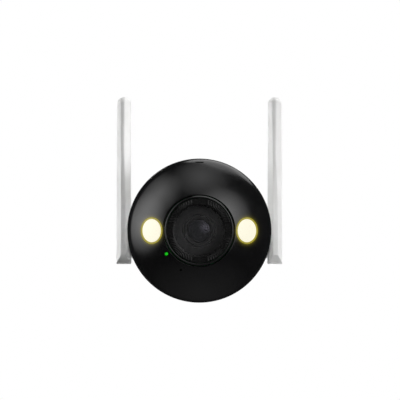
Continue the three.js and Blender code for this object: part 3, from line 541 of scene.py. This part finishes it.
def face_outline(inner, inset, steps):
    start = math.degrees(math.asin(inner / (DOME_RADIUS - inset)))
    dome = arc((0, DOME_MIDDLE), DOME_RADIUS - inset, start, EDGE_ANGLE, steps)
    shoulder = arc(SHOULDER_MIDDLE, SHOULDER_RADIUS - inset, EDGE_ANGLE, 90, steps // 2)
    return dome + shoulder[1:]


def spot_places():
    for name in ("left", "right"):
        middle = centre(f"spotlight_window_{name}")
        low, high = box(f"spotlight_window_{name}")
        yield name, middle, (high.x - low.x) / 2, (high.z - low.z) / 2


def front_cover():
    outer = face_outline(LENS_OPENING + 0.35, 0, 40)
    inner = face_outline(LENS_OPENING, WALL, 16)
    lip = arc((LENS_OPENING + 0.35, outer[0][1] - 0.35), 0.35, -90, 0, 6)
    spigot_rear = outs("front_cover")[0]
    groove = WIDEST_OUT - 4
    skirt = [
        (FACE_RADIUS, groove + 0.3), (FACE_RADIUS - 0.35, groove + 0.15), (FACE_RADIUS - 0.35, groove - 0.15),
        (FACE_RADIUS - 0.02, groove - 0.3), (FACE_RADIUS - 0.25, COVER_REAR + 0.5),
        (FACE_RADIUS - 0.6, COVER_REAR), (30.9, COVER_REAR), (30.9, spigot_rear), (29.4, spigot_rear),
        (29.4, COVER_REAR + 2), (FACE_RADIUS - WALL - 0.2, COVER_REAR + 2),
    ]
    piece = turned("face_shell", lip + outer[1:] + skirt + inner[::-1])
    tools = []
    for name, middle, half_x, half_z in spot_places():
        tools.append(oval(f"tool_{name}", half_x + 0.65, half_z + 0.65, 155, 185, (middle.x, middle.z)))
    status = centre("status_light_pipe")
    tools.append(turned("tool", [(0, 150), (0.9, 150), (0.9, 185), (0, 185)], SMALL_SIDES, (status.x, status.z)))
    mic = centre("microphone_boot")
    tools.append(turned("tool", [(0, 150), (0.5, 150), (0.5, 185), (0, 185)], SMALL_SIDES, (mic.x, mic.z)))
    slot_angle = math.radians(46.5)
    notch = block("tool", (-2.2, -0.5, -0.45), (2.2, 0.5, 0.45), 0.2)
    place = Vector((
        0,
        -(SHOULDER_MIDDLE[1] + SHOULDER_RADIUS * math.cos(slot_angle)),
        SHOULDER_MIDDLE[0] + SHOULDER_RADIUS * math.sin(slot_angle),
    ))
    notch.data.transform(Matrix.Translation(place * MM) @ Matrix.Rotation(-slot_angle, 4, "X"))
    tools.append(notch)
    cut(piece, *tools)
    stands_for(piece, "front_cover", FACE_BLACK, 40)


def spotlights():
    """Each spotlight is a domed milky window in a thin translucent seat that glows."""
    for name, middle, half_x, half_z in spot_places():

        def outline(grow, sink):
            points = []
            for i in range(FINE_SIDES):
                angle = math.tau * i / FINE_SIDES
                x = middle.x + (half_x + grow) * math.cos(angle)
                z = middle.z + (half_z + grow) * math.sin(angle)
                points.append((x, sink - dome_out(math.hypot(x, z)), z))
            return points

        shrinks = [-half_x * (1 - step / 8) for step in range(1, 8)]
        pole = [(middle.x, -dome_out(math.hypot(middle.x, middle.z)), middle.z)]
        window = [pole] + [outline(grow, 0) for grow in shrinks]
        window += [outline(-0.45, 0), outline(-0.3, 0.08), outline(-0.23, 0.3), outline(-0.23, 2.6)]
        stands_for(lofted(f"spotlight_{name}_window", window), f"spotlight_window_{name}", SPOT_LIT)
        seat = [outline(-0.17, 0.2), outline(0.5, 0.2), outline(0.62, 0.32), outline(0.62, 2.2), outline(-0.17, 2.2)]
        rides_with(ring_skin(f"spotlight_{name}_seat", seat), "camera", SPOT_RIM)


def ring_skin(name, rings):
    """Rings joined each to the next and the last to the first: a skin with a hole through it."""
    bm = bmesh.new()
    made = [[bm.verts.new(Vector(p) * MM) for p in ring] for ring in rings]
    for low, high in zip(made, made[1:] + made[:1]):
        for i in range(len(low)):
            j = (i + 1) % len(low)
            bm.faces.new((low[i], low[j], high[j], high[i]))
    return link(name, bm)


def status_light():
    low, high = box("status_light_pipe")
    middle = centre("status_light_pipe")
    rear, front = outs("status_light_pipe")
    size = 0.68
    crown = arc((0, front - 1.3), 1.3, 0, math.degrees(math.asin(size / 1.3)), 6)
    piece = turned("status_light", crown + [(size, rear), (0, rear)], SMALL_SIDES, (middle.x, middle.z))
    stands_for(piece, "status_light_pipe", STATUS_LIT)


# ---------------------------------------------------------------- lens group
RIB_REACH = 16.4  # where the middle of the outermost rib lies, along its diagonal
RIB_SPREAD = 1.55
RIB_PITCH = 0.85
RIB_COUNT = 6
RIB_DEPTH = 0.2
COLLAR_SIDES = 480
COLLAR_LEVELS = 40
COLLAR_FALL = 0.0  # how far the ribbed collar falls away from the window's rim to the bezel


def rib_height(x, z):
    """Nested bucket-shaped ribs about each diagonal, with plain pads between the four groups."""
    angle = math.atan2(z, x)
    size = math.hypot(x, z)
    offset = angle % (math.pi / 2) - math.pi / 4
    forward = size * math.cos(offset)
    across = abs(size * math.sin(offset))
    level = (across / RIB_SPREAD) ** 3 + max(0.0, RIB_REACH - forward) ** 3
    phase = level ** (1 / 3) / RIB_PITCH
    if phase > RIB_COUNT + 0.5:
        return 0.0
    return RIB_DEPTH * (1 + math.cos(math.tau * phase)) / 2 * min(1, phase / 0.5)


def ribbed_collar():
    outer = radius("stepped_baffle")
    rear, crest = outs("stepped_baffle")
    glass = outs("lens_window")[1]
    throat = 12.5
    rim = throat + 0.75
    foot = outer - 0.2

    def ring(size, out, ribs=0.0):
        points = []
        for i in range(COLLAR_SIDES):
            angle = math.tau * i / COLLAR_SIDES
            x, z = size * math.cos(angle), size * math.sin(angle)
            points.append((x, -(out + ribs * rib_height(x, z)), z))
        return points

    rings = [ring(outer, rear), ring(outer, crest - COLLAR_FALL - 0.2)]
    for level in range(COLLAR_LEVELS + 1):
        t = level / COLLAR_LEVELS
        out = crest - COLLAR_FALL * (1 - t) - RIB_DEPTH
        rings.append(ring(foot + (rim - foot) * t, out, min(1, 8 * t, 8 * (1 - t))))
    lip = [(rim - 0.05, crest - RIB_DEPTH), (rim - 0.1, crest), (throat, crest - 0.22), (throat, glass + GAP)]
    rings += [ring(size, out) for size, out in fillet(lip, 0.12, closed=False)]
    rings += [ring(13.5, glass + GAP), ring(13.5, rear)]
    stands_for(ring_skin("ribbed_collar", rings), "stepped_baffle", COLLAR_BLACK, 60)


def lens_group():
    rear, front = outs("lens_bezel")
    outer = radius("lens_bezel")
    bezel = fillet([(outer, rear), (outer, front - 0.5), (outer - 0.45, front), (16.3, front), (16.3, rear)], 0.35)
    stands_for(turned("bezel", bezel), "lens_bezel", GLOSS_BLACK)

    rear, front = outs("lens_window")
    disc = fillet([(0, rear), (radius("lens_window"), rear), (radius("lens_window"), front), (0, front)],
                  0.2, closed=False)
    stands_for(turned("window", disc), "lens_window", WINDOW_GLASS)

    rear, front = outs("window_gasket")
    ring = fillet([(7.95, rear), (13.2, rear), (13.2, front), (7.95, front)], 0.25)
    stands_for(turned("gasket", ring), "window_gasket", RUBBER)

    rear, front = outs("lens_barrel")
    barrel = fillet([
        (4.2, rear), (6, rear), (6, front - 8.7), (7.65, front - 8.7), (7.65, front), (6.9, front), (6.7, front - 0.35),
        (6.3, front - 0.35), (6.1, front - 0.8), (5.7, front - 1.2), (5.6, front - 3.2), (4.2, front - 3.2),
    ], 0.15)
    stands_for(turned("barrel", barrel, FINE_SIDES * 2), "lens_barrel", MATT_BLACK)

    rear, front = outs("lens_front_element")
    size = radius("lens_front_element")
    bow = 12.5
    middle = front - bow
    edge = math.degrees(math.asin(size / bow))
    element = [(0, rear), (size, rear)] + arc((0, middle), bow, edge, 0, 24)
    stands_for(turned("element", element, FINE_SIDES * 2), "lens_front_element", LENS_GLASS)

    behind = rear - 0.4
    retainer = fillet([(4.15, behind - 1.2), (4.15, behind), (3.3, behind), (2.75, behind - 0.35),
                       (2.75, behind - 1.2)], 0.06)
    rides_with(turned("retainer", retainer, FINE_SIDES), "camera", ALUMINIUM)
    inner = [(0, behind - 1.1), (2.7, behind - 1.1)] + arc((0, behind - 4.8), 4.3, 38.9, 0, 12)
    rides_with(turned("inner_element", inner, FINE_SIDES), "camera", INNER_GLASS)


# ---------------------------------------------------------------- casing
HOUSING_REAR, HOUSING_FRONT = outs("main_housing")
HOUSING_REAR_RADIUS = 31.5
HOUSING_FRONT_RADIUS = 34.8
BOSS_RADIUS = 7.5
REAR_COVER_OUT = HOUSING_REAR - GAP - 14.5
REAR_FLAT_RADIUS = 13.0


def outside_tool(name):
    return turned(name, [(0, HOUSING_REAR), (HOUSING_REAR_RADIUS, HOUSING_REAR),
                         (HOUSING_FRONT_RADIUS, HOUSING_FRONT), (0, HOUSING_FRONT)])


def main_housing():
    shell = fillet([
        (HOUSING_REAR_RADIUS, HOUSING_REAR), (HOUSING_FRONT_RADIUS, HOUSING_FRONT), (31.2, HOUSING_FRONT),
        (31.2, 141), (31.9, 139), (29.3, 86), (27.6, 84.4), (27.6, HOUSING_REAR),
    ], 0.4)
    piece = turned("housing_shell", shell)
    hinge = centre("antenna_hub_left")
    boss_end = box("main_housing")[1].x
    for side in (-1, 1):
        boss = fillet([(0, 27.5), (BOSS_RADIUS, 27.5), (BOSS_RADIUS, boss_end), (0, boss_end)], 0.5, closed=False)
        join(piece, along(turned("tool", boss, FINE_SIDES), (side, 0, 0), (0, hinge.y, hinge.z)))
        hole = [(0, boss_end - 1.3), (6.3, boss_end - 1.3), (6.3, 45), (0, 45)]
        cut(piece, along(turned("tool", hole, FINE_SIDES), (side, 0, 0), (0, hinge.y, hinge.z)))
        bore = [(0, 20), (4.15, 20), (4.15, 45), (0, 45)]
        cut(piece, along(turned("tool", bore, FINE_SIDES), (side, 0, 0), (0, hinge.y, hinge.z)))
    low, high = box("hatch_cover")
    cut(piece, block("tool", (low.x - GAP, low.y - GAP, -40), (high.x + GAP, high.y + GAP, -24), 0))
    speaker = centre("speaker")
    for i in range(-2, 3):
        half = 5.5 - abs(i) * 0.8
        y = speaker.y + i * 3
        cut(piece, block("tool", (-half, y - 0.7, -38), (half, y + 0.7, -24), 0.55))
    stands_for(piece, "main_housing", WHITE, 30)


def hatch():
    low, high = box("hatch_cover")
    piece = block("hatch_plate", (low.x, low.y, -40), (high.x, high.y, high.z), 0)
    combine(piece, [outside_tool("tool")], "INTERSECT")
    for name in ("hatch_screw_1", "hatch_screw_2"):
        spot = centre(name)
        hole = along(turned("tool", [(0, -3), (2.2, -3), (2.2, 3), (0, 3)], SMALL_SIDES), (0, 0, 1),
                     (spot.x, spot.y, -33.4))
        cut(piece, hole)
        screw(name, (spot.x, spot.y, box(name)[0].z), (0, 0, -1), 1.9, box(name)[1].z - box(name)[0].z)
    stands_for(piece, "hatch_cover", WHITE, 30, 0.2)


def screw(node, head_end, axis, head, length):
    """A pan-head cross-recess screw whose head ends at head_end and points along axis."""
    shank = head * 0.42
    profile = [(0, 0), (head * 0.5, -0.05), (head * 0.86, -0.3), (head, -0.75), (head, -1.3), (shank, -1.3),
               (shank, -length), (0, -length)]
    piece = turned("tool_screw", fillet(profile, 0.15, closed=False), SMALL_SIDES)
    piece.name = f"{node}_shape"
    along(piece, axis, head_end)
    turn = Vector((0, -1, 0)).rotation_difference(Vector(axis)).to_matrix().to_4x4()
    for wide, high in ((0.6, 0.14), (0.14, 0.6)):
        wing = block("tool", (-head * wide, -1, -head * high), (head * wide, 0.75, head * high), 0.05)
        wing.data.transform(Matrix.Translation(Vector(head_end) * MM) @ turn)
        cut(piece, wing)
    stands_for(piece, node, STEEL, 35)


def rear_cover():
    reach = HOUSING_REAR_RADIUS - REAR_FLAT_RADIUS
    depth = 14.5
    outer = [(REAR_FLAT_RADIUS + reach * math.sin(a), HOUSING_REAR - GAP - depth * math.cos(a))
             for a in (math.pi / 2 * i / 32 for i in range(33))]
    inner = [(REAR_FLAT_RADIUS + (reach - WALL) * math.sin(a), HOUSING_REAR - GAP - (depth - WALL) * math.cos(a))
             for a in (math.pi / 2 * i / 16 for i in range(17))]
    piece = turned("rear_shell", [(0, REAR_COVER_OUT)] + outer + inner[::-1] + [(0, REAR_COVER_OUT + WALL)])
    gland = centre("cable_gland")
    boss = fillet([(0, 63.5), (6.8, 63.5), (6.8, 72), (0, 72)], 0.6, closed=False)
    join(piece, turned("tool", boss, FINE_SIDES, (0, gland.z)))
    cut(piece, turned("tool", [(0, 55), (4.6, 55), (4.6, 85), (0, 85)], FINE_SIDES, (0, gland.z)))
    cut(piece, turned("tool", [(0, 55), (5.3, 55), (5.3, 85), (0, 85)], FINE_SIDES))
    for i in (1, 2, 3):
        spot = centre(f"rear_screw_{i}")
        cut(piece, turned("tool", [(0, 55), (2.9, 55), (2.9, 71), (0, 71)], SMALL_SIDES, (spot.x, spot.z)))
        rear, front = outs(f"rear_screw_{i}")
        screw(f"rear_screw_{i}", (spot.x, -rear, spot.z), (0, 1, 0), 2.4, front - rear)
    stands_for(piece, "rear_cover", WHITE, 30)


def gland():
    rear, front = outs("cable_gland")
    middle = centre("cable_gland")
    profile = fillet([(3.1, rear), (4.8, rear), (5.7, rear + 0.8), (5.7, 63.2), (4.3, 63.2), (4.3, 73.1),
                      (5.3, 73.1), (5.3, front), (3.1, front)], 0.35)
    piece = turned("gland_shape", profile, FINE_SIDES, (0, middle.z))
    stands_for(piece, "cable_gland", RUBBER)


# ---------------------------------------------------------------- antennas
BLADE_TWIST = math.radians(6)
TWIST_START = 24
TWIST_END = 54


def blade_section(z, half_x, half_y, cut_x, cut_y, rounding):
    """An eight-sided section, turned to the left as it rises, that keeps its width as seen from the front."""
    twist = BLADE_TWIST * min(1, max(0, (z - TWIST_START) / (TWIST_END - TWIST_START)))
    half_x -= (half_y - cut_y) * math.sin(twist)
    corners = [
        (half_x, half_y - cut_y), (half_x - cut_x, half_y), (cut_x - half_x, half_y), (-half_x, half_y - cut_y),
        (-half_x, cut_y - half_y), (cut_x - half_x, -half_y), (half_x - cut_x, -half_y), (half_x, cut_y - half_y),
    ]
    turn = Matrix.Rotation(-twist, 2)
    return [(*(turn @ point), z) for point in fillet(corners, rounding, steps=4)]


BLADE_LEVELS = (
    # height above the hinge, half width, then the corner cut across and along, and its rounding
    (-10.6, 4.4, 0.05, 0.05, 0.2), (-9.9, 4.45, 0.05, 0.05, 0.2), (-9.8, 4.55, 0.08, 0.1, 0.2),
    (-7.7, 6.3, 1.3, 1.8, 0.25), (-5.6, 7.4, 2.45, 3.4, 0.3), (-5.1, 7.4, 2.45, 3.4, 0.3),
    (10, 6.95, 2.5, 3.4, 0.3), (24, 6.4, 2.55, 3.4, 0.32), (54, 5.5, 2.7, 3.3, 0.45),
)


def antennas():
    for name in ("left", "right"):
        node = f"antenna_blade_{name}"
        low, high = box(node)
        middle = centre(node)
        hub = centre(f"antenna_hub_{name}")
        half = (high.x - low.x) / 2
        tip = high.z - hub.z - half
        rings = [blade_section(z, half, y, cx, cy, rounding) for z, y, cx, cy, rounding in BLADE_LEVELS]
        for step in range(17):
            angle = math.pi / 2 * step / 17
            scale = math.cos(angle)
            rings.append(blade_section(tip + half * math.sin(angle), half * scale, 4.7 * scale, 2.45 * scale,
                                       3.1 * scale, 0.6 * scale))
        rings = [[(middle.x + x, hub.y + y, hub.z + z) for x, y, z in ring] for ring in rings]
        rings.append([(middle.x, hub.y, high.z)])
        stands_for(lofted(f"antenna_{name}_shape", rings), node, WHITE, 24)


# ---------------------------------------------------------------- bracket
def wall_base():
    size = radius("wall_base")
    thick = outs("wall_base")[1]
    profile = fillet([(0, 0), (size, 0), (size, thick - 3), (size - 2, thick), (12.9, thick), (12.9, 3), (0, 3)],
                     1.0, closed=False)
    piece = turned("base_disc", profile)
    for i in range(3):
        angle = math.radians(30 + 120 * i)
        spot = (25.5 * math.cos(angle), 25.5 * math.sin(angle))
        cut(piece, turned("tool", [(0, -5), (2.2, -5), (2.2, thick - 2.2), (4.2, thick), (4.2, 20), (0, 20)],
                          FINE_SIDES, spot))
    stands_for(piece, "wall_base", PAINT, 30)


def collar():
    rear, front = outs("retaining_collar")
    size = radius("retaining_collar")
    profile = fillet([(9.6, rear), (12.6, rear), (12.6, 8.3), (size, 8.3), (size, 10.6), (size - 1, front),
                      (9.6, front)], 0.6)
    piece = turned("collar_ring", profile)
    for i in (1, 2, 3):
        node = f"collar_screw_{i}"
        spot = centre(node)
        cut(piece, turned("tool", [(0, 10.2), (2.2, 10.2), (2.2, 20), (0, 20)], SMALL_SIDES, (spot.x, spot.z)))
        rear, front = outs(node)
        screw(node, (spot.x, -front, spot.z), (0, -1, 0), 1.9, front - rear)
    stands_for(piece, "retaining_collar", PAINT, 30)


def finish_bracket_castings():
    """The arm and the knuckle keep their CAD shape, with cast-in rounded edges."""
    for node in ("pan_arm", "tilt_knuckle"):
        rounding = frame["nodes"][node].modifiers["rounding"]
        rounding.width = 0.7 * MM
        rounding.segments = 4


# ---------------------------------------------------------------- camera, floor and lights
VIEW_DISTANCE = 650.0  # from the widest part of the face
VIEW_SIDE = 0.35
FACE_SHARE = 0.3603  # of the picture's width
FACE_LOW = 0.0766  # how far the face sits below the picture's middle, as a share of its width
FRAME_WIDTH = 2 * FACE_RADIUS / FACE_SHARE
SENSOR = 36.0


def view_camera():
    data = bpy.data.cameras.new("view")
    data.sensor_width = SENSOR
    data.lens = SENSOR * VIEW_DISTANCE / FRAME_WIDTH
    data.shift_y = FACE_LOW
    data.clip_start = 0.01
    camera = bpy.data.objects.new("view", data)
    bpy.context.scene.collection.objects.link(camera)
    camera.location = Vector((VIEW_SIDE, -(WIDEST_OUT + VIEW_DISTANCE), 0)) * MM
    camera.rotation_euler = (math.pi / 2, 0, 0)
    bpy.context.scene.camera = camera


def floor():
    piece = turned("floor", [(0, 0), (800, 0), (800, 4), (0, 4)], FINE_SIDES)
    along(piece, (0, 0, -1), (0, -90, -250))
    finish = Finish("pale_floor", (0.8, 0.8, 0.8), 0.8)
    finish.vary_colour((0.79, 0.79, 0.79), (0.81, 0.81, 0.81), 60)
    finish.set(Emission_Color=(1, 1, 1, 1), Emission_Strength=0.66)
    piece.data.materials.append(finish.material)
    piece.visible_glossy = False
    piece.visible_diffuse = False


LIT_MIDDLE = (0, -130, 15)
BLADES_MIDDLE = (0, -140, 60)


def softbox(name, around, tilt, reach, brightness, fades=True, distance=0.9, target=LIT_MIDDLE):
    """A round light that the object sees out to reach degrees from its middle, fading to nothing there.

    It stands tilt degrees off the viewing axis, at the clock angle around that axis from the right.
    """
    around, tilt, reach = math.radians(around), math.radians(tilt), math.radians(reach)
    towards = Vector((math.sin(tilt) * math.cos(around), -math.cos(tilt), math.sin(tilt) * math.sin(around)))
    data = bpy.data.lights.new(name, "AREA")
    data.shape = "DISK"
    data.size = 2 * distance * math.tan(reach)
    data.energy = brightness * (math.pi * data.size / 2) ** 2
    if fades:
        data.spread = 2 * reach
        data.energy *= 1 - reach / math.tan(reach)
    light = bpy.data.objects.new(name, data)
    bpy.context.scene.collection.objects.link(light)
    target = Vector(target) * MM
    light.location = target + towards * distance
    light.rotation_euler = (target - light.location).to_track_quat("-Z", "Y").to_euler()
    light.visible_camera = False
    return light


def lights():
    softbox("left_box", 172, 71, 31, 4.2).visible_diffuse = False
    softbox("upper_left_box", 138, 68, 26, 2.4)
    softbox("top_box", 88, 67, 30, 1.3)
    softbox("rim_box", 71, 110, 28, 1.8, fades=False)
    softbox("low_box", 270, 76, 50, 0.2)
    softbox("right_box", 32, 36, 34, 3.8).visible_diffuse = False  # it only glints on the face
    for fill in (
        softbox("right_fill", 0, 66, 25, 15, distance=0.45, target=BLADES_MIDDLE),
        softbox("left_fill", 180, 100, 25, 16, distance=0.45, target=BLADES_MIDDLE),
        softbox("rear_fill", 90, 148, 30, 1.6, fades=False),
    ):
        fill.visible_glossy = False  # the first two brighten the antennas, and the third the back


def world():
    scene = bpy.context.scene
    scene.world = bpy.data.worlds.new("studio")
    scene.world.use_nodes = True
    nodes = scene.world.node_tree.nodes
    links = scene.world.node_tree.links
    seen = nodes["Background"]
    seen.inputs["Color"].default_value = (1, 1, 1, 1)
    fill = nodes.new("ShaderNodeBackground")
    fill.inputs["Color"].default_value = (1, 1, 1, 1)
    fill.inputs["Strength"].default_value = 0.035
    mix = nodes.new("ShaderNodeMixShader")
    path = nodes.new("ShaderNodeLightPath")
    links.new(path.outputs["Is Camera Ray"], mix.inputs["Fac"])
    links.new(fill.outputs["Background"], mix.inputs[1])
    links.new(seen.outputs["Background"], mix.inputs[2])
    links.new(mix.outputs["Shader"], nodes["World Output"].inputs["Surface"])
    scene.view_settings.view_transform = "Standard"


finish_cad_nodes()
view_camera()
world()
lights()
floor()
front_cover()
spotlights()
status_light()
ribbed_collar()
lens_group()
main_housing()
hatch()
rear_cover()
gland()
antennas()
wall_base()
collar()
finish_bracket_castings()
